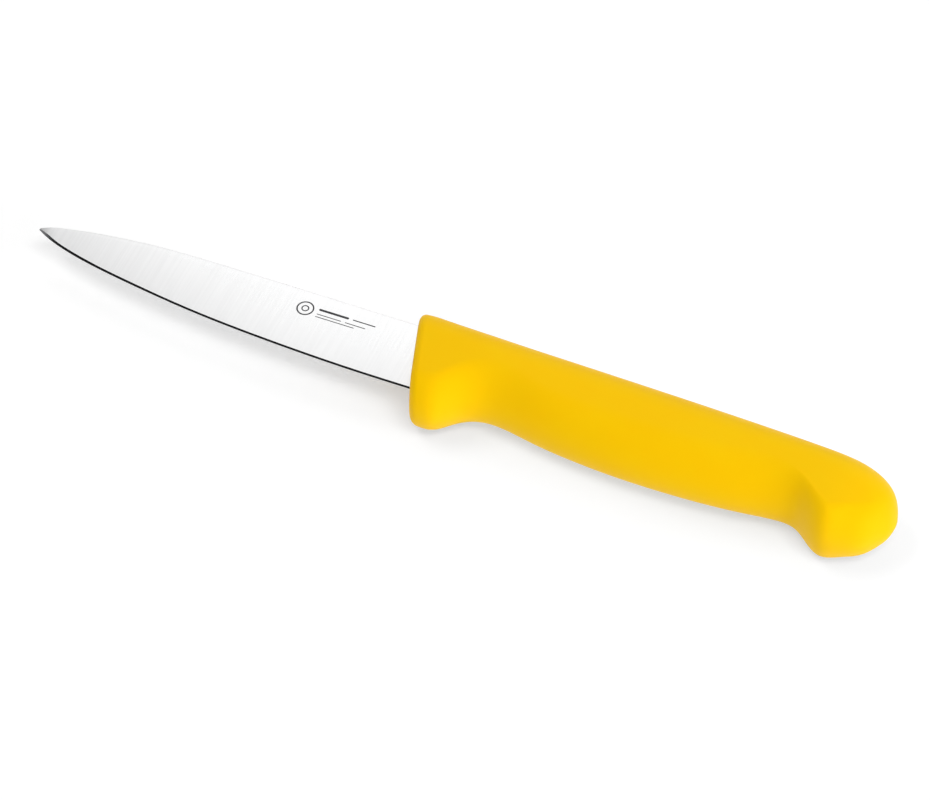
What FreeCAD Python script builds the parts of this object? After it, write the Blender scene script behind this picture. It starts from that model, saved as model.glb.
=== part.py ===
import FreeCAD, Part
import math
import os
import Sketcher
from FreeCAD import Placement, Rotation, Vector

# Short butcher's boning knife with a moulded handle, in millimetres.
#
# Drawing frame of every body: X runs from the blade tip to the butt, with X = 0 on the front face of
# the handle at half height; Y runs from the cutting edge to the spine, with Y = 0 half way up the
# blade; Z = 0 is the mid-plane of the blade.  Each body's Placement then lays the knife on its side,
# +Z up, with the origin under the middle of the whole knife.

doc = FreeCAD.newDocument("boning_knife")
sheet = doc.addObject("Spreadsheet::Sheet", "sizes")
next_row = [1]
size = {}


def cell(alias, value, note=""):
    """One driving dimension: a plain number in column B with an alias, its meaning in column C."""
    r = next_row[0]
    sheet.set("A%d" % r, alias)
    sheet.set("B%d" % r, "%.6g" % value)
    sheet.setAlias("B%d" % r, alias)
    if note:
        sheet.set("C%d" % r, note)
    size[alias] = float("%.6g" % value)
    next_row[0] += 1


# where the drawing frame's zero lies in the part's own frame
cell("place_x", -9.8, "shift of the drawing frame along X")
cell("place_y", 3.123, "shift of the drawing frame along Y")
cell("place_z", 9.06, "height of the blade's mid-plane above the surface")

# blade stations: x, spine line, edge line, bevel height, half thickness at the spine and behind the bevel
BLADE = [
    (4.0, 9.02, -9.50, 0.50, 0.75, 0.180),
    (-8.0, 9.04, -9.52, 0.50, 0.75, 0.180),
    (-22.0, 9.08, -9.22, 0.50, 0.74, 0.180),
    (-36.0, 9.12, -8.55, 0.50, 0.72, 0.182),
    (-49.0, 9.13, -7.62, 0.51, 0.69, 0.184),
    (-61.0, 9.06, -6.28, 0.52, 0.65, 0.188),
    (-72.0, 8.60, -4.66, 0.55, 0.60, 0.192),
    (-82.0, 7.58, -2.92, 0.58, 0.54, 0.196),
    (-90.0, 6.33, -1.04, 0.62, 0.47, 0.200),
    (-95.0, 5.27, 0.60, 0.68, 0.40, 0.200),
    (-98.4, 4.20, 2.14, 0.66, 0.30, 0.180),
    (-99.9, 3.45, 3.02, 0.24, 0.10, 0.070),
]
for k, (x, ys, ye, bevel, thick, behind) in enumerate(BLADE, 1):
    cell("blade%02d_x" % k, x, "blade station %d along the knife" % k)
    cell("blade%02d_spine" % k, ys, "spine")
    cell("blade%02d_edge" % k, ye, "cutting edge")
    cell("blade%02d_bevel" % k, bevel, "height of the sharpening bevel")
    cell("blade%02d_thick" % k, thick, "half thickness at the spine")
    cell("blade%02d_behind" % k, behind, "half thickness behind the bevel")
cell("edge_flat", 0.02, "half width left on the cutting edge")

# tang: the unground rest of the blank, inside the handle
cell("tang_half", 0.75, "half thickness of the blank")
cell("tang_start", 3.0, "the tang's front end, inside the ground blade's root")
cell("tang_front_top", 6.5, "tang height where it leaves the blade")
cell("tang_front_low", -6.5)
cell("tang_neck", 16.0, "where the tang has narrowed")
cell("tang_top", 3.6)
cell("tang_low", -6.4)
cell("tang_end", 86.0, "end of the tang")
cell("tang_drop", 1.4, "the tang drops this much towards its end")
cell("tang_round", 2.5, "corner radius of the tang's end")
cell("hole_size", 5.0, "through-holes that the plastic fills")
cell("hole_first", 30.0)
cell("hole_step", 22.0)
cell("hole_count", 3)
cell("hole_y", -2.0)

# moulded carrier round the tang, the handle's first shot
cell("core_start", 13.0, "front end of the carrier")
cell("core_front_top", 6.3)
cell("core_front_low", -6.6)
cell("core_mid", 52.0)
cell("core_mid_low", -9.6)
cell("core_back", 106.0, "rear end of the carrier")
cell("core_back_top", 4.4)
cell("core_back_low", -9.4)
cell("core_half", 4.8, "half thickness of the carrier")
cell("core_round", 3.0, "radius of its corners in plan")
cell("core_edge", 1.5, "radius round its faces")
cell("key_first", 20.0, "front end of the first recess that keys the second shot")
cell("key_step", 14.0)
cell("key_count", 6)
cell("key_long", 8.0)
cell("key_high", 8.0)
cell("key_deep", 1.6)
cell("key_y", -2.0, "middle of the recesses")

# handle sections: where the section's plane crosses Y = 0, how far it leans forward in degrees, the
# finger side and the spine side measured along the leaning plane, half thickness, and the lengths of
# the half-ellipses that close it on the spine side and on the finger side
HANDLE = [
    (0.10, 17.0, -17.40, 11.46, 8.36, 8.8, 7.6),
    (0.29, 17.0, -17.42, 11.48, 8.37, 8.8, 7.6),
    (0.82, 17.0, -17.46, 11.52, 8.39, 8.8, 7.6),
    (2.09, 16.9, -17.53, 11.58, 8.43, 8.8, 7.6),
    (4.49, 16.7, -17.50, 11.64, 8.55, 8.9, 7.8),
    (6.82, 16.4, -16.71, 11.50, 8.66, 9.0, 8.1),
    (9.91, 16.0, -14.51, 11.30, 8.80, 9.1, 8.6),
    (13.67, 15.2, -11.92, 11.08, 8.94, 9.2, 9.0),
    (18.57, 13.2, -10.19, 10.84, 9.05, 9.3, 9.2),
    (24.04, 9.0, -10.13, 10.54, 9.10, 9.4, 9.3),
    (31.83, 4.0, -11.40, 10.29, 9.10, 9.5, 9.4),
    (41.64, 0.0, -12.75, 10.08, 9.10, 9.6, 9.6),
    (52.64, 0.0, -13.61, 9.84, 9.10, 9.6, 9.7),
    (64.64, 0.0, -13.77, 9.55, 9.10, 9.6, 9.7),
    (75.64, 0.0, -13.31, 9.20, 9.10, 9.5, 9.5),
    (85.64, 0.0, -12.24, 8.79, 9.10, 9.2, 9.0),
    (92.64, 0.0, -11.26, 8.43, 9.10, 8.9, 8.4),
    (97.64, 0.0, -12.14, 8.17, 9.10, 8.9, 8.2),
    (101.64, 0.0, -15.36, 7.98, 9.05, 9.2, 8.3),
    (105.25, 0.0, -17.40, 7.70, 8.92, 9.6, 8.8),
    (109.64, 0.0, -16.22, 6.86, 8.50, 9.9, 9.2),
    (114.14, 0.0, -13.94, 4.76, 7.55, 8.9, 8.4),
    (117.19, 0.0, -10.38, 1.84, 5.60, 5.9, 5.8),
    (118.96, 0.0, -7.60, -1.75, 2.50, 2.8, 2.7),
    (119.50, 0.0, -5.75, -3.65, 0.90, 1.0, 1.0),
]
for k, (x, lean, low, top, half, rt, rl) in enumerate(HANDLE, 1):
    cell("grip%02d_x" % k, x, "handle section %d along the knife" % k)
    cell("grip%02d_lean" % k, lean, "lean, degrees")
    cell("grip%02d_low" % k, low, "finger side")
    cell("grip%02d_top" % k, top, "spine side")
    cell("grip%02d_half" % k, half, "half thickness")
    cell("grip%02d_rtop" % k, rt, "half-ellipse on the spine side")
    cell("grip%02d_rlow" % k, rl, "half-ellipse on the finger side")
cell("land_half", 9.06, "half thickness across the flats of the two flanks")
cell("land_x0", 12.0)
cell("land_x1", 110.0)
cell("land_y0", -13.0)
cell("land_y1", 9.0)
# the first sections stand in from that outline, which rounds the front face's corner
INSET = [1.90, 1.10, 0.44]
for k, v in enumerate(INSET, 1):
    cell("front_inset%02d" % k, v, "inset of handle section %d" % k)
doc.recompute()


def plane(body, role):
    for f in body.Origin.OriginFeatures:
        if f.Role == role:
            return f
    raise RuntimeError("no " + role)


def new_body(name):
    body = doc.addObject("PartDesign::Body", name)
    body.setExpression("Placement.Base.x", "sizes.place_x")
    body.setExpression("Placement.Base.y", "sizes.place_y")
    body.setExpression("Placement.Base.z", "sizes.place_z")
    return body


def new_sketch(body, name, role):
    sk = body.newObject("Sketcher::SketchObject", name)
    sk.AttachmentSupport = [(plane(body, role), "")]
    sk.MapMode = "FlatFace"
    return sk


def dim(sk, kind, args, value, name, expr):
    """A named dimension of a sketch, bound to the sheet."""
    i = sk.addConstraint(Sketcher.Constraint(kind, *args, value))
    sk.renameConstraint(i, name)
    sk.setExpression("Constraints." + name, expr)


def point_dims(sk, geo, pos, x, y, name, ex, ey):
    """Place one point by its two coordinates."""
    for kind, v, n, e in (("DistanceX", x, name + "_x", ex), ("DistanceY", y, name + "_y", ey)):
        if abs(v) < 1e-9:
            sk.addConstraint(Sketcher.Constraint("PointOnObject", geo, pos, -2 if kind == "DistanceX" else -1))
        elif v > 0:
            dim(sk, kind, (-1, 1, geo, pos), v, n, e)
        else:
            dim(sk, kind, (geo, pos, -1, 1), -v, n, "-(" + e + ")")


def polygon(sk, pts):
    """Closed chain of lines; pts holds (x, y, name, x expression, y expression)."""
    n = len(pts)
    lines = []
    for i in range(n):
        a, b = pts[i], pts[(i + 1) % n]
        lines.append(sk.addGeometry(Part.LineSegment(Vector(a[0], a[1], 0), Vector(b[0], b[1], 0)), False))
    for i in range(n):
        sk.addConstraint(Sketcher.Constraint("Coincident", lines[i], 2, lines[(i + 1) % n], 1))
    for i, p in enumerate(pts):
        point_dims(sk, lines[i], 1, p[0], p[1], p[2], p[3], p[4])
    return lines


# ---------------------------------------------------------------------------------------------- blade
blade = new_body("blade")
blade.Label = "blade"

# the ground blade, lofted through six-cornered sections: two flat-ground faces from the spine down,
# then the sharpening bevel down to the edge
stations = []
for k, (x, ys, ye, bevel, thick, behind) in enumerate(BLADE, 1):
    sk = new_sketch(blade, "blade_section%02d" % k, "YZ_Plane")
    sk.AttachmentOffset = Placement(Vector(0, 0, x), Rotation())
    sk.setExpression("AttachmentOffset.Base.z", "sizes.blade%02d_x" % k)
    s, e, b, t, h = ["sizes.blade%02d_%s" % (k, n) for n in ("spine", "edge", "bevel", "thick", "behind")]
    f = size["edge_flat"]
    polygon(sk, [
        (ys, thick, "spine_up", s, t),
        (ye + bevel, behind, "bevel_up", e + " + " + b, h),
        (ye, f, "edge_up", e, "sizes.edge_flat"),
        (ye, -f, "edge_dn", e, "-sizes.edge_flat"),
        (ye + bevel, -behind, "bevel_dn", e + " + " + b, "-" + h),
        (ys, -thick, "spine_dn", s, "-" + t),
    ])
    stations.append(sk)
doc.recompute()
ground = blade.newObject("PartDesign::AdditiveLoft", "ground_blade")
ground.Profile = stations[0]
ground.Sections = stations[1:]
ground.Ruled = False
doc.recompute()
v_ground = blade.Shape.Volume

# the tang, one piece with the blade
sk = new_sketch(blade, "tang_outline", "XY_Plane")
S = "sizes."
polygon(sk, [
    (size["tang_start"], size["tang_front_top"], "p1", S + "tang_start", S + "tang_front_top"),
    (size["tang_neck"], size["tang_top"], "p2", S + "tang_neck", S + "tang_top"),
    (size["tang_end"], size["tang_top"] - size["tang_drop"], "p3", S + "tang_end", S + "tang_top - " + S + "tang_drop"),
    (size["tang_end"], size["tang_low"] - size["tang_drop"], "p4", S + "tang_end", S + "tang_low - " + S + "tang_drop"),
    (size["tang_neck"], size["tang_low"], "p5", S + "tang_neck", S + "tang_low"),
    (size["tang_start"], size["tang_front_low"], "p6", S + "tang_start", S + "tang_front_low"),
])
tang = blade.newObject("PartDesign::Pad", "tang")
tang.Profile = sk
tang.Midplane = True
tang.setExpression("Length", "2 * sizes.tang_half")
doc.recompute()
v_tang = blade.Shape.Volume
assert v_tang > v_ground + 500, "tang missing"

sk = new_sketch(blade, "tang_hole", "XY_Plane")
c = sk.addGeometry(Part.Circle(Vector(size["hole_first"], size["hole_y"], 0), Vector(0, 0, 1), size["hole_size"] / 2), False)
point_dims(sk, c, 3, size["hole_first"], size["hole_y"], "hole", "sizes.hole_first", "sizes.hole_y")
dim(sk, "Diameter", (c,), size["hole_size"], "bore", "sizes.hole_size")
hole = blade.newObject("PartDesign::Pocket", "tang_hole_cut")
hole.Profile = sk
hole.Type = "ThroughAll"
hole.Midplane = True
doc.recompute()
assert blade.Shape.Volume < v_tang - 20, "tang hole cuts nothing"
rowp = blade.newObject("PartDesign::LinearPattern", "tang_holes")
rowp.Originals = [hole]
rowp.Direction = (plane(blade, "X_Axis"), [""])
rowp.setExpression("Length", "sizes.hole_step * (sizes.hole_count - 1)")
rowp.setExpression("Occurrences", "sizes.hole_count")
blade.Tip = rowp
doc.recompute()

# round the two corners at the tang's end
ends = []
for i, edge in enumerate(blade.Shape.Edges, 1):
    if len(edge.Vertexes) != 2:
        continue
    a, b = [v.Point for v in edge.Vertexes]
    if abs(a.x - b.x) < 1e-4 and abs(a.y - b.y) < 1e-4 and abs(a.x - size["place_x"] - size["tang_end"]) < 0.01:
        ends.append("Edge%d" % i)
assert len(ends) == 2, ends
rnd = blade.newObject("PartDesign::Fillet", "tang_end_round")
rnd.Base = (rowp, ends)
rnd.setExpression("Radius", "sizes.tang_round")
blade.Tip = rnd
doc.recompute()

# --------------------------------------------------------------------------------------- handle core
core = new_body("core_blank")
sk = new_sketch(core, "core_outline", "XY_Plane")
polygon(sk, [
    (size["core_start"], size["core_front_top"], "p1", S + "core_start", S + "core_front_top"),
    (size["core_back"], size["core_back_top"], "p2", S + "core_back", S + "core_back_top"),
    (size["core_back"], size["core_back_low"], "p3", S + "core_back", S + "core_back_low"),
    (size["core_mid"], size["core_mid_low"], "p4", S + "core_mid", S + "core_mid_low"),
    (size["core_start"], size["core_front_low"], "p5", S + "core_start", S + "core_front_low"),
])
slab = core.newObject("PartDesign::Pad", "core_slab")
slab.Profile = sk
slab.Midplane = True
slab.setExpression("Length", "2 * sizes.core_half")
doc.recompute()
v_slab = core.Shape.Volume

upright = []
for i, edge in enumerate(core.Shape.Edges, 1):
    a, b = [v.Point for v in edge.Vertexes]
    if abs(a.x - b.x) < 1e-4 and abs(a.y - b.y) < 1e-4 and abs(a.x - size["place_x"] - size["core_mid"]) > 1:
        upright.append("Edge%d" % i)
plan = core.newObject("PartDesign::Fillet", "core_plan_round")
plan.Base = (slab, upright)
plan.setExpression("Radius", "sizes.core_round")
core.Tip = plan
doc.recompute()
faces = ["Face%d" % i for i, f in enumerate(core.Shape.Faces, 1)
         if f.BoundBox.ZLength < 1e-4 and f.Area > 500]
assert len(faces) == 2
rim = core.newObject("PartDesign::Fillet", "core_face_round")
rim.Base = (plan, faces)
rim.setExpression("Radius", "sizes.core_edge")
core.Tip = rim
doc.recompute()
v_rim = core.Shape.Volume

# recesses on both faces, where the second shot keys in
keys = []
for side, sign in (("up", 1), ("dn", -1)):
    sk = new_sketch(core, "key_" + side, "XY_Plane")
    sk.AttachmentOffset = Placement(Vector(0, 0, sign * size["core_half"]), Rotation())
    sk.setExpression("AttachmentOffset.Base.z", "%d * sizes.core_half" % sign)
    x0, x1 = size["key_first"], size["key_first"] + size["key_long"]
    y0, y1 = size["key_y"] - size["key_high"] / 2, size["key_y"] + size["key_high"] / 2
    ex0, ex1 = S + "key_first", S + "key_first + " + S + "key_long"
    ey0, ey1 = S + "key_y - " + S + "key_high / 2", S + "key_y + " + S + "key_high / 2"
    polygon(sk, [(x0, y0, "k1", ex0, ey0), (x1, y0, "k2", ex1, ey0), (x1, y1, "k3", ex1, ey1), (x0, y1, "k4", ex0, ey1)])
    cut = core.newObject("PartDesign::Pocket", "key_cut_" + side)
    cut.Profile = sk
    cut.Reversed = sign < 0
    cut.setExpression("Length", "sizes.key_deep")
    doc.recompute()
    keys.append(cut)
v_key = core.Shape.Volume
assert abs(v_rim - v_key - 2 * size["key_long"] * size["key_high"] * size["key_deep"]) < 1, (v_rim, v_key)
ladder = core.newObject("PartDesign::LinearPattern", "key_row")
ladder.Originals = keys
ladder.Direction = (plane(core, "X_Axis"), [""])
ladder.setExpression("Length", "sizes.key_step * (sizes.key_count - 1)")
ladder.setExpression("Occurrences", "sizes.key_count")
core.Tip = ladder
doc.recompute()

# the carrier is moulded round the tang, so it fills the tang's holes
handle_core = doc.addObject("Part::Cut", "handle_core")
handle_core.Base = core
handle_core.Tool = blade
handle_core.Label = "handle_core"
doc.recompute()

# --------------------------------------------------------------------------------------- handle grip
outer = new_body("grip_blank")
sections = []
for k, (x, lean, low, top, half, rt, rl) in enumerate(HANDLE, 1):
    p = "sizes.grip%02d_" % k
    if k <= len(INSET):
        d = INSET[k - 1]
        low, top, half, rt, rl = low + d, top - d, half - d, rt - d, rl - d
    sk = new_sketch(outer, "handle_section%02d" % k, "YZ_Plane")
    sk.AttachmentOffset = Placement(Vector(0, 0, x), Rotation(Vector(0, 1, 0), lean))
    sk.setExpression("AttachmentOffset.Base.z", p + "x")
    if lean:
        sk.setExpression("AttachmentOffset.Rotation.Angle", p + "lean")
    up = sk.addGeometry(Part.LineSegment(Vector(top - rt, half, 0), Vector(low + rl, half, 0)), False)

    def half_ellipse(cx, length, side):
        centre = Vector(cx, 0, 0)
        if length >= half:
            el = Part.Ellipse(Vector(cx + length, 0, 0), Vector(cx, half, 0), centre)
            a0 = -math.pi / 2 if side > 0 else math.pi / 2
        else:
            el = Part.Ellipse(Vector(cx, half, 0), Vector(cx - length, 0, 0), centre)
            a0 = math.pi if side > 0 else 0.0
        return sk.addGeometry(Part.ArcOfEllipse(el, a0, a0 + math.pi), False)

    low_arc = half_ellipse(low + rl, rl, -1)
    dn = sk.addGeometry(Part.LineSegment(Vector(low + rl, -half, 0), Vector(top - rt, -half, 0)), False)
    top_arc = half_ellipse(top - rt, rt, 1)
    sections.append((sk, up, low_arc, dn, top_arc))
doc.recompute()
for k, (sk, up, low_arc, dn, top_arc) in enumerate(sections, 1):
    x, lean, low, top, half, rt, rl = HANDLE[k - 1]
    p = "sizes.grip%02d_" % k
    inset = ""
    low_mid, top_mid = low + rl, top - rt
    if k <= len(INSET):
        inset = " - sizes.front_inset%02d" % k
        half, rt, rl = half - INSET[k - 1], rt - INSET[k - 1], rl - INSET[k - 1]
    for arc, length, mid, name, ec, el in ((low_arc, rl, low_mid, "finger", p + "low + " + p + "rlow", "(" + p + "rlow" + inset + ")"),
                                           (top_arc, rt, top_mid, "spine", p + "top - " + p + "rtop", "(" + p + "rtop" + inset + ")")):
        first = sk.GeometryCount
        sk.exposeInternalGeometry(arc)
        sk.addConstraint(Sketcher.Constraint("PointOnObject", arc, 3, -1))
        if mid >= 0:
            dim(sk, "DistanceX", (-1, 1, arc, 3), mid, name + "_centre", ec)
        else:
            dim(sk, "DistanceX", (arc, 3, -1, 1), -mid, name + "_centre", "-(" + ec + ")")
        eh = "(" + p + "half" + inset + ")"
        major, minor = (el, eh) if length >= half else (eh, el)
        mj, mn = max(length, half), min(length, half)
        dim(sk, "Distance", (first,), 2 * mj, name + "_major", "2 * " + major)
        dim(sk, "Distance", (first + 1,), 2 * mn, name + "_minor", "2 * " + minor)
        sk.addConstraint(Sketcher.Constraint("Horizontal" if length >= half else "Vertical", first))
    arc_pts = {}
    for g in (low_arc, top_arc):
        for pos in (1, 2):
            sk.addConstraint(Sketcher.Constraint("Vertical", g, pos, g, 3))
            arc_pts[(g, sk.getPoint(g, pos).y > 0)] = pos
    sk.addConstraint(Sketcher.Constraint("Coincident", up, 1, top_arc, arc_pts[(top_arc, True)]))
    sk.addConstraint(Sketcher.Constraint("Coincident", up, 2, low_arc, arc_pts[(low_arc, True)]))
    sk.addConstraint(Sketcher.Constraint("Coincident", dn, 1, low_arc, arc_pts[(low_arc, False)]))
    sk.addConstraint(Sketcher.Constraint("Coincident", dn, 2, top_arc, arc_pts[(top_arc, False)]))
doc.recompute()
loft = outer.newObject("PartDesign::AdditiveLoft", "handle_loft")
loft.Profile = sections[0][0]
loft.Sections = [s[0] for s in sections[1:]]
loft.Ruled = False
doc.recompute()
v_loft = outer.Shape.Volume
assert v_loft > 36000, "the handle loft has folded"


# the flanks are flat where the knife lies on them
for side, sign in (("up", 1), ("dn", -1)):
    before = outer.Shape.Volume
    sk = new_sketch(outer, "flank_" + side, "XY_Plane")
    sk.AttachmentOffset = Placement(Vector(0, 0, sign * size["land_half"]), Rotation())
    sk.setExpression("AttachmentOffset.Base.z", "%d * sizes.land_half" % sign)
    x0, x1, y0, y1 = size["land_x0"], size["land_x1"], size["land_y0"], size["land_y1"]
    polygon(sk, [(x0, y0, "f1", S + "land_x0", S + "land_y0"), (x1, y0, "f2", S + "land_x1", S + "land_y0"),
                 (x1, y1, "f3", S + "land_x1", S + "land_y1"), (x0, y1, "f4", S + "land_x0", S + "land_y1")])
    cut = outer.newObject("PartDesign::Pocket", "flank_flat_" + side)
    cut.Profile = sk
    cut.Reversed = sign > 0
    cut.Length = 1.0
    doc.recompute()
    taken = before - outer.Shape.Volume
    assert 5 < taken < 120, taken

skin = doc.addObject("Part::Cut", "grip_over_core")
skin.Base = outer
skin.Tool = core
doc.recompute()
handle_grip = doc.addObject("Part::Cut", "handle_grip")
handle_grip.Base = skin
handle_grip.Tool = blade
handle_grip.Label = "handle_grip"
doc.recompute()

# --------------------------------------------------------------------------------- checks and export
nodes = {"blade": blade, "handle_core": handle_core, "handle_grip": handle_grip}
for obj in doc.Objects:
    state = [w for w in obj.State if w in ("Invalid", "Error")]
    if state:
        raise RuntimeError("%s is %s" % (obj.Name, state))
box = FreeCAD.BoundBox()
for name, obj in nodes.items():
    shape = obj.Shape
    if shape.isNull() or not shape.isValid() or len(shape.Solids) != 1:
        raise RuntimeError("%s: null %s, valid %s, solids %d" % (name, shape.isNull(), shape.isValid(), len(shape.Solids)))
    box.add(shape.BoundBox)
    print("%-12s volume %.1f mm3, box %s" % (name, shape.Volume, shape.BoundBox))
for a, b in (("blade", "handle_core"), ("blade", "handle_grip"), ("handle_core", "handle_grip")):
    overlap = nodes[a].Shape.common(nodes[b].Shape).Volume
    print("overlap %s / %s %.4f mm3" % (a, b, overlap))
print("whole knife", box)
best = FreeCAD.BoundBox()
for obj in nodes.values():
    for p in obj.Shape.tessellate(0.05)[0]:
        best.add(p)
print("tessellated box", best, "centre %.3f %.3f" % (best.Center.x, best.Center.y))
for side in (1, -1):
    x, y = -22.0 + size["place_x"], size["place_y"]
    probe = Part.makeLine(Vector(x, y, size["place_z"]), Vector(x, y, size["place_z"] + side * 5))
    hit = blade.Shape.common(probe).Vertexes
    z = max((v.Point.z for v in hit), key=lambda q: abs(q - size["place_z"]))
    face = min(blade.Shape.Faces, key=lambda f: f.distToShape(Part.Vertex(x, y, z))[0])
    print("ground face point %.3f %.3f %.4f normal %s" % (x, y, z, face.normalAt(*face.Surface.parameter(Vector(x, y, z)))))
for f in handle_grip.Shape.Faces:
    if f.Surface.TypeId == "Part::GeomPlane" and f.BoundBox.ZLength < 0.01:
        print("flank flat", f.BoundBox, "area %.1f" % f.Area)

os.makedirs("parts", exist_ok=True)
for name, obj in nodes.items():
    obj.Shape.exportStep("parts/%s.step" % name)
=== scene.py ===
import math

import bpy
import numpy as np
from mathutils import Matrix, Vector


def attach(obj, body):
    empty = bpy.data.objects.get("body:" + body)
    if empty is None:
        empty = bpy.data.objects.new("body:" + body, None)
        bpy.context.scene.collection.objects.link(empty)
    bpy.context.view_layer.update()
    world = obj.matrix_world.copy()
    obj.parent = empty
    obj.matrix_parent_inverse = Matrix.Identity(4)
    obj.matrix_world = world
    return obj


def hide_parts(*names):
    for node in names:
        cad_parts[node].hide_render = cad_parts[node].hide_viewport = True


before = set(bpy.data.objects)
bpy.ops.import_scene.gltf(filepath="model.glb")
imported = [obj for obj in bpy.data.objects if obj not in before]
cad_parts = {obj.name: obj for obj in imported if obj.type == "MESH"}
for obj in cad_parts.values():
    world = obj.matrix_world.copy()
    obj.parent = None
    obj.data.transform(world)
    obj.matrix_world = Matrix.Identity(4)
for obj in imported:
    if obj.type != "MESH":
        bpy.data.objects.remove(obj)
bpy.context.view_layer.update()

MM = 0.001
# the drawing frame's zero in the part's frame, in mm (blade mid-plane, handle front, blade middle)
PLACE = np.array([-9.8, 3.123, 9.06])
scene = bpy.context.scene


# ------------------------------------------------------------------------------------------ helpers
def spline(knots, values, at):
    """Natural cubic spline through the rows of values, read at the parameters at."""
    t = np.asarray(knots, float)
    y = np.asarray(values, float)
    n = len(t)
    h = np.diff(t)
    a = np.zeros((n, n))
    r = np.zeros((n,) + y.shape[1:])
    a[0, 0] = a[-1, -1] = 1.0
    for i in range(1, n - 1):
        a[i, i - 1], a[i, i], a[i, i + 1] = h[i - 1], 2 * (h[i - 1] + h[i]), h[i]
        r[i] = 6 * ((y[i + 1] - y[i]) / h[i] - (y[i] - y[i - 1]) / h[i - 1])
    m = np.linalg.solve(a, r)
    at = np.clip(np.asarray(at, float), t[0], t[-1])
    k = np.clip(np.searchsorted(t, at) - 1, 0, n - 2)
    x0, x1 = (t[k + 1] - at)[:, None], (at - t[k])[:, None]
    hk = h[k][:, None]
    return (m[k] * x0 ** 3 + m[k + 1] * x1 ** 3) / (6 * hk) \
        + (y[k] / hk - m[k] * hk / 6) * x0 + (y[k + 1] / hk - m[k + 1] * hk / 6) * x1


def mesh_object(name, verts_mm, faces, materials, face_material=None, sharp=()):
    mesh = bpy.data.meshes.new(name)
    v = (np.asarray(verts_mm, float) + PLACE) * MM
    mesh.from_pydata([tuple(p) for p in v], [], [tuple(f) for f in faces])
    for mat in materials:
        mesh.materials.append(mat)
    if face_material is not None:
        mesh.polygons.foreach_set("material_index", np.asarray(face_material, np.int32))
    mesh.polygons.foreach_set("use_smooth", np.ones(len(faces), bool))
    if len(sharp):
        want = set(tuple(sorted(e)) for e in sharp)
        flags = np.array([tuple(sorted(e.vertices)) in want for e in mesh.edges], bool)
        mesh.edges.foreach_set("use_edge_sharp", flags)
    mesh.validate()
    mesh.update()
    obj = bpy.data.objects.new(name, mesh)
    scene.collection.objects.link(obj)
    return obj


def ring_faces(a, b, n):
    """Quads between ring a and ring b (start indices), n points round."""
    return [(a + j, a + (j + 1) % n, b + (j + 1) % n, b + j) for j in range(n)]


# ---------------------------------------------------------------------------------------- materials
class Nodes:
    def __init__(self, name):
        self.mat = bpy.data.materials.new(name)
        self.mat.use_nodes = True
        self.tree = self.mat.node_tree
        self.bsdf = self.tree.nodes["Principled BSDF"]

    def add(self, kind, **props):
        n = self.tree.nodes.new(kind)
        for k, v in props.items():
            if k in n.inputs:
                n.inputs[k].default_value = v
            else:
                setattr(n, k, v)
        return n

    def link(self, a, b):
        self.tree.links.new(a, b)

    def coords(self, scale):
        """Object coordinates in millimetres, stretched by scale."""
        tc = self.add("ShaderNodeTexCoord")
        mp = self.add("ShaderNodeMapping")
        mp.inputs["Scale"].default_value = tuple(1000.0 * s for s in scale)
        self.link(tc.outputs["Object"], mp.inputs["Vector"])
        return mp.outputs["Vector"]

    def noise(self, scale, size=1.0, detail=2.0, rough=0.5):
        n = self.add("ShaderNodeTexNoise")
        n.inputs["Scale"].default_value = size
        n.inputs["Detail"].default_value = detail
        n.inputs["Roughness"].default_value = rough
        self.link(self.coords(scale), n.inputs["Vector"])
        return n.outputs["Fac"]

    def ramp(self, value, lo, hi, out_lo, out_hi):
        m = self.add("ShaderNodeMapRange")
        m.inputs["From Min"].default_value = lo
        m.inputs["From Max"].default_value = hi
        m.inputs["To Min"].default_value = out_lo
        m.inputs["To Max"].default_value = out_hi
        self.link(value, m.inputs["Value"])
        return m.outputs["Result"]

    def mix(self, factor, a, b):
        m = self.add("ShaderNodeMix", data_type="RGBA")
        m.inputs["A"].default_value = a
        m.inputs["B"].default_value = b
        self.link(factor, m.inputs["Factor"])
        return m.outputs["Result"]

    def bump(self, height, strength, distance_mm, normal=None):
        b = self.add("ShaderNodeBump")
        b.inputs["Strength"].default_value = strength
        b.inputs["Distance"].default_value = distance_mm * MM
        self.link(height, b.inputs["Height"])
        if normal is not None:
            self.link(normal, b.inputs["Normal"])
        return b.outputs["Normal"]


def grip_plastic():
    """Yellow polypropylene with a fine spark-eroded mould texture and faint flow clouding."""
    m = Nodes("grip_yellow_pp")
    b = m.bsdf
    cloud = m.noise((0.05, 0.09, 0.09), 1.0, 3.0)
    col = m.mix(m.ramp(cloud, 0.35, 0.65, 0.0, 1.0), (0.985, 0.572, 0.0018, 1), (0.985, 0.590, 0.0024, 1))
    m.link(col, b.inputs["Base Color"])
    fine = m.noise((1, 1, 1), 5.0, 2.0, 0.6)
    rough = m.ramp(fine, 0.3, 0.7, 0.44, 0.54)
    m.link(rough, b.inputs["Roughness"])
    grain = m.noise((1, 1, 1), 7.0, 1.0, 0.5)
    m.link(m.bump(grain, 0.35, 0.012), b.inputs["Normal"])
    b.inputs["Specular IOR Level"].default_value = 0.10
    b.inputs["Specular Tint"].default_value = (1.0, 0.80, 0.06, 1)
    b.inputs["IOR"].default_value = 1.49
    b.inputs["Subsurface Weight"].default_value = 0.08
    b.inputs["Subsurface Radius"].default_value = (1.0, 0.55, 0.08)
    b.inputs["Subsurface Scale"].default_value = 0.0012
    return m.mat


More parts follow.
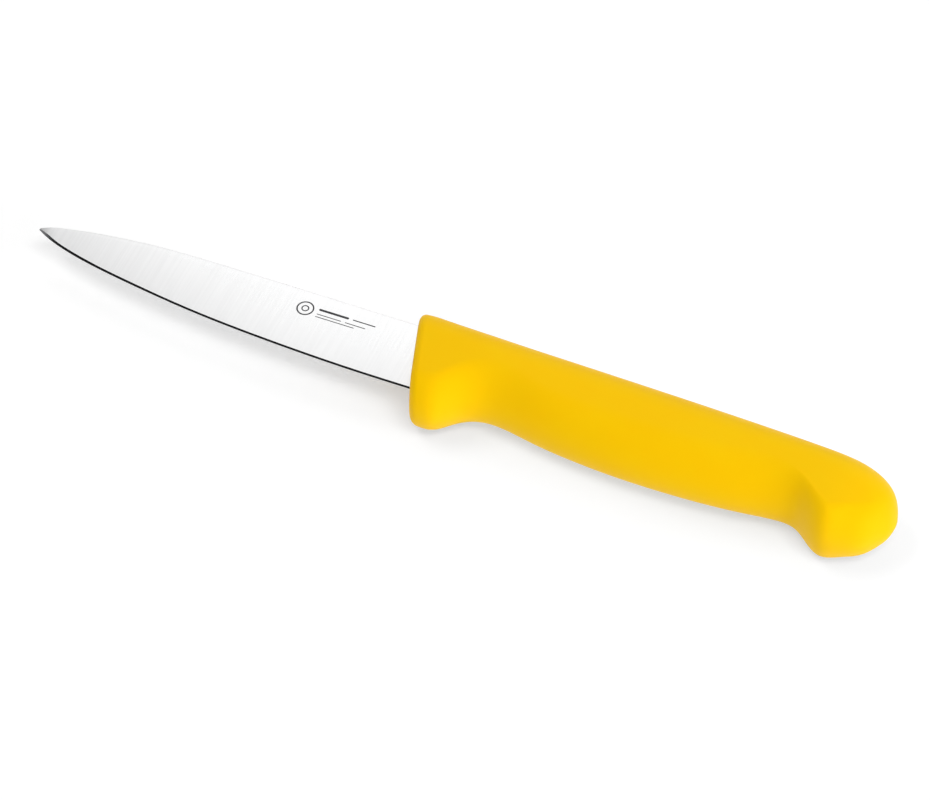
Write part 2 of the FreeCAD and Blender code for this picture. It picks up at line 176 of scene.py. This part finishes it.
def core_plastic():
    m = Nodes("core_natural_pp")
    b = m.bsdf
    cloud = m.noise((0.08, 0.08, 0.08), 1.0, 2.0)
    col = m.mix(m.ramp(cloud, 0.3, 0.7, 0.0, 1.0), (0.70, 0.67, 0.58, 1), (0.78, 0.76, 0.68, 1))
    m.link(col, b.inputs["Base Color"])
    m.link(m.ramp(m.noise((1, 1, 1), 3.0), 0.3, 0.7, 0.42, 0.52), b.inputs["Roughness"])
    b.inputs["Specular IOR Level"].default_value = 0.35
    return m.mat


def steel(name, colour, rough_lo, rough_hi, line_strength, along, coarser=0.0):
    """Ground stainless steel. along = stretch of the grinding lines: they run along the small value.
    coarser = roughness that the finish gains from the spine to the edge and from the heel to the point."""
    m = Nodes(name)
    b = m.bsdf
    b.inputs["Metallic"].default_value = 1.0
    lines = m.noise(along, 1.0, 4.0, 0.65)
    streak = m.noise(tuple(0.22 * a for a in along), 1.0, 2.0, 0.5)
    dark = tuple(0.965 * c for c in colour) + (1,)
    col = m.mix(m.ramp(streak, 0.35, 0.65, 0.0, 1.0), dark, tuple(colour) + (1,))
    m.link(col, b.inputs["Base Color"])
    rough = m.ramp(lines, 0.3, 0.7, rough_lo, rough_hi)
    if coarser:
        xyz = m.add("ShaderNodeSeparateXYZ")
        m.link(m.coords((1, 1, 1)), xyz.inputs["Vector"])
        for axis, lo, hi in (("Y", 12.0, -7.0), ("X", -40.0, -110.0)):
            plus = m.add("ShaderNodeMath", operation="ADD")
            m.link(rough, plus.inputs[0])
            m.link(m.ramp(xyz.outputs[axis], lo, hi, 0.0, coarser), plus.inputs[1])
            rough = plus.outputs["Value"]
    m.link(rough, b.inputs["Roughness"])
    m.link(m.bump(lines, line_strength, 0.004), b.inputs["Normal"])
    return m.mat


def mark_ink():
    """Laser-annealed oxide mark: thin dark film on the steel."""
    m = Nodes("laser_mark_oxide")
    b = m.bsdf
    n = m.noise((1, 1, 1), 6.0, 2.0)
    col = m.mix(m.ramp(n, 0.3, 0.7, 0.0, 1.0), (0.040, 0.040, 0.043, 1), (0.075, 0.075, 0.080, 1))
    m.link(col, b.inputs["Base Color"])
    m.link(m.ramp(n, 0.3, 0.7, 0.45, 0.6), b.inputs["Roughness"])
    b.inputs["Specular IOR Level"].default_value = 0.25
    return m.mat


mat_grip = grip_plastic()
mat_core = core_plastic()
mat_face = steel("blade_flat_ground", (0.885, 0.886, 0.888), 0.21, 0.27, 0.06, (9.0, 0.12, 0.12), 0.09)
# the honed bevel mirrors the world's dark flag; its darker steel colour adds painted dark reflection on top of
# that
mat_bevel_painted_dark = steel("blade_honed_bevel_painted_dark", (0.46, 0.465, 0.48), 0.07, 0.13, 0.06, (0.4, 14.0, 14.0))
mat_mark = mark_ink()

# -------------------------------------------------------------------------------------------- blade
# x, spine line, edge line, bevel height, half thickness at the spine and behind the bevel
BLADE = np.array([
    (4.0, 9.02, -9.50, 0.50, 0.75, 0.180),
    (-8.0, 9.04, -9.52, 0.50, 0.75, 0.180),
    (-22.0, 9.08, -9.22, 0.50, 0.74, 0.180),
    (-36.0, 9.12, -8.55, 0.50, 0.72, 0.182),
    (-49.0, 9.13, -7.62, 0.51, 0.69, 0.184),
    (-61.0, 9.06, -6.28, 0.52, 0.65, 0.188),
    (-72.0, 8.60, -4.66, 0.55, 0.60, 0.192),
    (-82.0, 7.58, -2.92, 0.58, 0.54, 0.196),
    (-90.0, 6.33, -1.04, 0.62, 0.47, 0.200),
    (-95.0, 5.27, 0.60, 0.68, 0.40, 0.200),
    (-98.4, 4.20, 2.14, 0.66, 0.30, 0.180),
    (-99.9, 3.45, 3.02, 0.24, 0.10, 0.070),
])


def blade_at(x):
    """Blade station values at the given x, in the drawing frame."""
    d = BLADE[::-1]
    step = np.hypot(np.diff(d[:, 0]), np.diff(d[:, 1] - d[:, 2]) * 0.5)
    t = np.concatenate([[0], np.cumsum(step)])
    fine = np.linspace(0, t[-1], 1500)
    v = spline(t, d, fine)
    return np.stack([np.interp(x, v[:, 0], v[:, j]) for j in range(6)], 1)


def make_blade():
    """Ground blade with rounded spine corners and a sharpening bevel, running on as the tang."""
    u = np.linspace(0, 1, 260)
    xs = -99.9 + 103.9 * (u ** 1.35)
    rows = blade_at(xs)
    f = 0.02
    rings, bands = [], []
    for x, ys, ye, bv, ts, tb in rows:
        c = min(0.10, 0.45 * ts, 0.2 * (ys - ye))
        # half profile on the +Z side, from the edge up to the spine's middle
        half = [(ye, f), (ye + bv * 0.5, f + (tb - f) * 0.5), (ye + bv, tb)]
        y0, y1 = ye + bv, ys - c
        for k in range(1, 9):
            g = k / 8.0
            half.append((y0 + (y1 - y0) * g, tb + (ts - tb) * g * (1 - c / max(ys - y0, 1e-6) * 0)))
        for k in range(1, 4):
            th = math.pi / 2 * k / 3
            half.append((y1 + c * math.sin(th), ts - c + c * math.cos(th)))
        ring = [(x, y, z) for y, z in half] + [(x, y, -z) for y, z in reversed(half)]
        rings.append(ring)
    n = len(rings[0])
    # the tang: a step down in height inside the handle, then a parallel bar with a round end
    tang = [(4.0, 6.5, -6.5), (16.0, 3.6, -6.4), (50.0, 3.0, -7.1), (83.5, 2.3, -7.8), (85.3, 1.7, -7.2), (86.0, 0.2, -5.6)]
    for x, top, low in tang:
        ring = []
        for k in range(n):
            px, y, z = rings[259][k]
            g = (y + 9.5) / 19.0
            zz = 0.75 if z > 0 else -0.75
            ring.append((x, low + (top - low) * g, zz))
        rings.append(ring)
    verts = [p for r in rings for p in r]
    faces, mats = [], []
    for i in range(len(rings) - 1):
        for j in range(n):
            k = (j + 1) % n
            faces.append((i * n + j, (i + 1) * n + j, (i + 1) * n + k, i * n + k))
            on_bevel = j in (0, 1, n - 3, n - 2) or j == n - 1
            mats.append(1 if on_bevel and i < 259 else 0)
    faces.append(tuple(range(n)))
    mats.append(1)
    last = (len(rings) - 1) * n
    faces.append(tuple(last + j for j in reversed(range(n))))
    mats.append(0)
    sharp = []
    for i in range(len(rings) - 1):
        for j in (0, 2, n - 3, n - 1):
            sharp.append((i * n + j, (i + 1) * n + j))
    for i in (0, 259, 260):
        for j in range(n):
            sharp.append((i * n + j, i * n + (j + 1) % n))
    return mesh_object("blade_steel", verts, faces, [mat_face, mat_bevel_painted_dark], mats, sharp)


blade = make_blade()
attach(blade, "root")
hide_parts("blade")

# --------------------------------------------------------------------------------------------- grip
# where the section's plane crosses Y = 0, lean, finger side, spine side, half thickness, end lengths
HANDLE = np.array([
    (0.10, 17.0, -17.40, 11.46, 8.36, 8.8, 7.6),
    (2.09, 16.9, -17.53, 11.58, 8.43, 8.8, 7.6),
    (4.49, 16.7, -17.50, 11.64, 8.55, 8.9, 7.8),
    (6.82, 16.4, -16.71, 11.50, 8.66, 9.0, 8.1),
    (9.91, 16.0, -14.51, 11.30, 8.80, 9.1, 8.6),
    (13.67, 15.2, -11.92, 11.08, 8.94, 9.2, 9.0),
    (18.57, 13.2, -10.21, 10.84, 9.04, 9.3, 9.3),
    (24.04, 9.0, -10.15, 10.54, 9.06, 9.4, 9.4),
    (31.83, 4.0, -11.08, 10.29, 9.06, 9.5, 8.0),
    (41.64, 0.0, -12.38, 10.08, 9.06, 9.6, 8.0),
    (52.64, 0.0, -13.39, 9.84, 9.06, 9.6, 8.7),
    (64.64, 0.0, -13.60, 9.55, 9.06, 9.6, 8.9),
    (75.64, 0.0, -13.25, 9.20, 9.06, 9.5, 9.2),
    (85.64, 0.0, -12.31, 8.79, 9.06, 9.2, 9.3),
    (92.64, 0.0, -10.99, 8.43, 9.06, 8.9, 7.4),
    (97.64, 0.0, -10.96, 8.17, 9.06, 8.9, 4.9),
    (101.64, 0.0, -14.16, 7.98, 9.05, 9.2, 4.8),
    (105.25, 0.0, -16.28, 7.70, 8.95, 9.6, 5.2),
    (109.64, 0.0, -15.57, 6.86, 8.55, 9.9, 6.6),
    (114.14, 0.0, -13.73, 4.76, 7.55, 8.9, 7.4),
    (117.19, 0.0, -10.38, 1.84, 5.60, 5.9, 5.8),
    (118.96, 0.0, -7.60, -1.75, 2.50, 2.8, 2.7),
    (119.50, 0.0, -5.75, -3.65, 0.90, 1.0, 1.0),
])
FRONT_ROUND = 1.9
RING_HALF = 72


def section_ring(x, lean, low, top, half, rt, rl, inset=0.0):
    """Points round one handle section, drawing frame, starting at the spine and going over +Z."""
    low, top, half, rt, rl = low + inset, top - inset, half - inset, rt - inset, rl - inset
    a = top - low
    over = (rt + rl) / (a - 0.02)
    if over > 1:
        rt, rl = rt / over, rl / over
    q = RING_HALF // 2
    th = np.linspace(0, math.pi / 2, q)
    u = np.concatenate([top - rt + rt * np.cos(th), low + rl - rl * np.cos(th[::-1])])
    z = np.concatenate([half * np.sin(th), half * np.sin(th[::-1])])
    u = np.concatenate([u, u[-2:0:-1]])
    z = np.clip(np.concatenate([z, -z[-2:0:-1]]), -9.06, 9.06)
    r = math.radians(lean)
    return np.stack([x - u * math.sin(r), u * math.cos(r), z], 1)


def make_grip():
    size = np.stack([HANDLE[:, 0], 0.5 * HANDLE[:, 2], 0.5 * HANDLE[:, 3], HANDLE[:, 4]], 1)
    step = np.linalg.norm(np.diff(size, axis=0), axis=1)
    t = np.concatenate([[0], np.cumsum(step)])
    rows = spline(t, HANDLE, np.concatenate([np.linspace(0, t[-4], 300), np.linspace(t[-4], t[-1], 46)[1:]]))
    rings = []
    first = HANDLE[0]
    keep = rows[rows[:, 0] > first[0] + FRONT_ROUND / math.cos(math.radians(17)) + 0.05]
    # the corner round the front face
    for k in range(13):
        a = math.pi / 2 * k / 12
        x = first[0] + FRONT_ROUND * (1 - math.cos(a)) / math.cos(math.radians(17))
        base = spline(t, HANDLE, [np.interp(x, HANDLE[:, 0], t)])[0]
        rings.append(section_ring(x, *base[1:], inset=FRONT_ROUND * (1 - math.sin(a))))
    for r in keep:
        rings.append(section_ring(*r))
    n = len(rings[0])
    # the front face runs in to a close slot round the blade, which turns inward
    outer = rings[0]
    lean = math.radians(17)
    slot = []
    gap = 0.05
    for k in range(n):
        u = outer[k, 1] / math.cos(lean)
        g = (u - outer[:, 1].min() / math.cos(lean)) / ((outer[:, 1].max() - outer[:, 1].min()) / math.cos(lean))
        y = -9.56 - gap + (9.5 + 9.56 + 2 * gap) * g
        w = 0.02 + gap + 0.73 * max(0.0, min(1.0, (y + 9.56) / 19.06)) ** 0.9
        z = outer[k, 2]
        s = 1.0 if z > 0 else -1.0
        edge = min(1.0, abs(z) / 1.2)
        slot.append((first[0] - y * math.tan(lean), y, s * w * edge))
    slot = np.array(slot)
    cap = []
    for k in range(1, 8):
        g = k / 8.0
        cap.append(outer * (1 - g) + slot * g)
    front = [slot + np.array([1.2, 0, 0]), slot + np.array([0.10, 0, 0]), slot] + cap[::-1]
    front.append(outer)
    rings = front + rings[1:]
    verts = np.concatenate(rings)
    faces = []
    for i in range(len(rings) - 1):
        for j in range(n):
            k = (j + 1) % n
            faces.append((i * n + j, (i + 1) * n + j, (i + 1) * n + k, i * n + k))
    faces.append(tuple(range(n)))
    last = (len(rings) - 1) * n
    faces.append(tuple(last + j for j in reversed(range(n))))
    sharp = [(i * n + j, i * n + (j + 1) % n) for i in (0, 2) for j in range(n)]
    return mesh_object("grip_moulding", verts, faces, [mat_grip], None, sharp)


grip = make_grip()
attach(grip, "root")
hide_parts("handle_grip")
grip.visible_diffuse = False  # no yellow cast on the white paper

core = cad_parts["handle_core"]
core.data.materials.clear()
core.data.materials.append(mat_core)


# -------------------------------------------------------------------------------------- blade's mark
def face_height(x, y):
    """Height of the ground face above the mid-plane."""
    r = blade_at(np.array([x]))[0]
    ys, ye, bv, ts, tb = r[1:]
    return tb + (ts - tb) * (y - ye - bv) / (ys - ye - bv)


def make_mark():
    """A plain ring and rules, each a thin closed film on the ground face. No lettering."""
    verts, faces = [], []

    def film(left, right, closed):
        """Closed strip between two matching lines of points, 0.012 mm proud of the ground face."""
        base, n = len(verts), len(left)
        for line, dz in ((left, -0.004), (left, 0.012), (right, 0.012), (right, -0.004)):
            for x, y in line:
                verts.append((x, y, face_height(x, y) + dz))
        for r in range(4):
            a, b = base + r * n, base + ((r + 1) % 4) * n
            for j in range(n if closed else n - 1):
                k = (j + 1) % n
                faces.append((a + j, a + k, b + k, b + j))
        if not closed:
            faces.append(tuple(base + r * n for r in (0, 1, 2, 3)))
            faces.append(tuple(base + r * n + n - 1 for r in (3, 2, 1, 0)))

    def ring(cx, cy, r, w, n=72):
        t = [2 * math.pi * k / n for k in range(n)]
        film([(cx + r * math.cos(a), cy + r * math.sin(a)) for a in t],
             [(cx + (r - w) * math.cos(a), cy + (r - w) * math.sin(a)) for a in t], True)

    def rule(x0, x1, cy, w):
        r = w / 2
        ends = [r * (1 - math.cos(math.pi / 2 * k / 5)) for k in range(6)]
        xs = [x0 + e for e in ends] + list(np.linspace(x0 + r, x1 - r, max(4, int((x1 - x0) / 0.7)))[1:-1]) \
            + [x1 - e for e in reversed(ends)]
        hs = [max(0.02, math.sqrt(max(0.0, r * r - max(0.0, x0 + r - x, x - x1 + r) ** 2))) for x in xs]
        film([(x, cy + h) for x, h in zip(xs, hs)], [(x, cy - h) for x, h in zip(xs, hs)], False)

    ring(-30.1, 3.9, 2.15, 0.36)
    ring(-30.1, 3.9, 0.95, 0.30)
    rule(-26.9, -19.2, 4.75, 0.62)
    rule(-18.2, -12.4, 4.75, 0.30)
    rule(-26.9, -20.6, 3.30, 0.22)
    rule(-19.6, -14.4, 3.30, 0.22)
    rule(-26.9, -17.0, 2.45, 0.22)
    return mesh_object("blade_laser_mark", verts, faces, [mat_mark])


mark = make_mark()
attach(mark, "root")

# ------------------------------------------------------------------------------------ floor and light
floor_mesh = bpy.data.meshes.new("floor_sheet")
s = 3.0
floor_mesh.from_pydata([(-s, -s, 0), (s, -s, 0), (s, s, 0), (-s, s, 0)], [], [(0, 1, 2, 3)])
floor = bpy.data.objects.new("floor_sheet", floor_mesh)
scene.collection.objects.link(floor)
fm = Nodes("paper_white_glowing")
fm.bsdf.inputs["Base Color"].default_value = (0.80, 0.80, 0.80, 1)
fm.bsdf.inputs["Roughness"].default_value = 0.9
fm.bsdf.inputs["Specular IOR Level"].default_value = 0.1
# the paper also glows evenly: painted glow that lights the knife from below and lifts the shade of the shadows
# on it
fm.bsdf.inputs["Emission Color"].default_value = (1.0, 1.0, 1.0, 1)
fm.bsdf.inputs["Emission Strength"].default_value = 0.288
floor_mesh.materials.append(fm.mat)

world = bpy.data.worlds.new("studio") if scene.world is None else scene.world
scene.world = world
world.use_nodes = True
bg = world.node_tree.nodes["Background"]
bg.inputs["Color"].default_value = (1.0, 1.0, 1.0, 1)
# an even white tent, with one small black flag overhead that the honed bevel mirrors
nt = world.node_tree
look = nt.nodes.new("ShaderNodeTexCoord")
toward = nt.nodes.new("ShaderNodeVectorMath")
toward.operation = "DOT_PRODUCT"
toward.inputs[1].default_value = tuple(Vector((-0.365, 0.10, 0.925)).normalized())
flag = nt.nodes.new("ShaderNodeMapRange")
flag.interpolation_type = "SMOOTHSTEP"
for name, value in (("From Min", 0.963), ("From Max", 0.980), ("To Min", 0.36), ("To Max", 0.02)):
    flag.inputs[name].default_value = value
nt.links.new(look.outputs["Generated"], toward.inputs[0])
nt.links.new(toward.outputs["Value"], flag.inputs["Value"])
nt.links.new(flag.outputs["Result"], bg.inputs["Strength"])

AIM = Vector((0.010, 0.0, 0.009))


def softbox(name, direction, distance, w, h, radiance):
    """Area light whose face has the given radiance."""
    d = Vector(direction).normalized()
    light = bpy.data.lights.new(name, "AREA")
    light.shape = "RECTANGLE"
    light.size, light.size_y = w, h
    light.energy = radiance * math.pi * w * h
    light.color = (1.0, 1.0, 1.0)
    obj = bpy.data.objects.new(name, light)
    obj.location = AIM + d * distance
    obj.rotation_euler = d.to_track_quat("Z", "Y").to_euler()
    scene.collection.objects.link(obj)
    return obj


def heading(azimuth, elevation):
    """Direction towards a light: azimuth from +X towards +Y, both in degrees."""
    a, e = math.radians(azimuth), math.radians(elevation)
    return (math.cos(e) * math.cos(a), math.cos(e) * math.sin(a), math.sin(e))


softbox("softbox_back", (-0.16, 0.64, 0.72), 1.6, 1.3, 1.15, 0.87)
softbox("softbox_right", heading(-12, 14), 1.7, 1.3, 0.68, 5.4)
# the others only fill: they are kept out of reflections
for fill in (softbox("fill_top_right", heading(315, 62), 1.7, 0.9, 0.5, 6.0),
             softbox("fill_top_left", heading(190, 62), 1.7, 0.9, 0.5, 3.3),
             softbox("fill_rear_low", heading(118, 14), 1.7, 0.9, 0.5, 1.3)):
    fill.visible_glossy = False

# ------------------------------------------------------------------------------------------- camera
AZ, EL, DIST = math.radians(22.8), math.radians(48.5), 0.9
back = Vector((math.sin(AZ) * math.cos(EL), -math.cos(AZ) * math.cos(EL), math.sin(EL)))
target = Vector(((15.64 + PLACE[0]) * MM, (-7.7 + PLACE[1]) * MM, PLACE[2] * MM))
cam_data = bpy.data.cameras.new("camera")
cam_data.sensor_width = 36.0
cam_data.sensor_fit = "HORIZONTAL"
cam_data.lens = 3892.646 / 930.0 * 36.0
cam_data.clip_start, cam_data.clip_end = 0.05, 20.0
cam = bpy.data.objects.new("camera", cam_data)
cam.location = target + back * DIST
cam.rotation_euler = back.to_track_quat("Z", "Y").to_euler()
scene.collection.objects.link(cam)
scene.camera = cam

scene.view_settings.view_transform = "Standard"
scene.view_settings.look = "None"
scene.view_settings.exposure = 0.0
scene.view_settings.gamma = 1.0
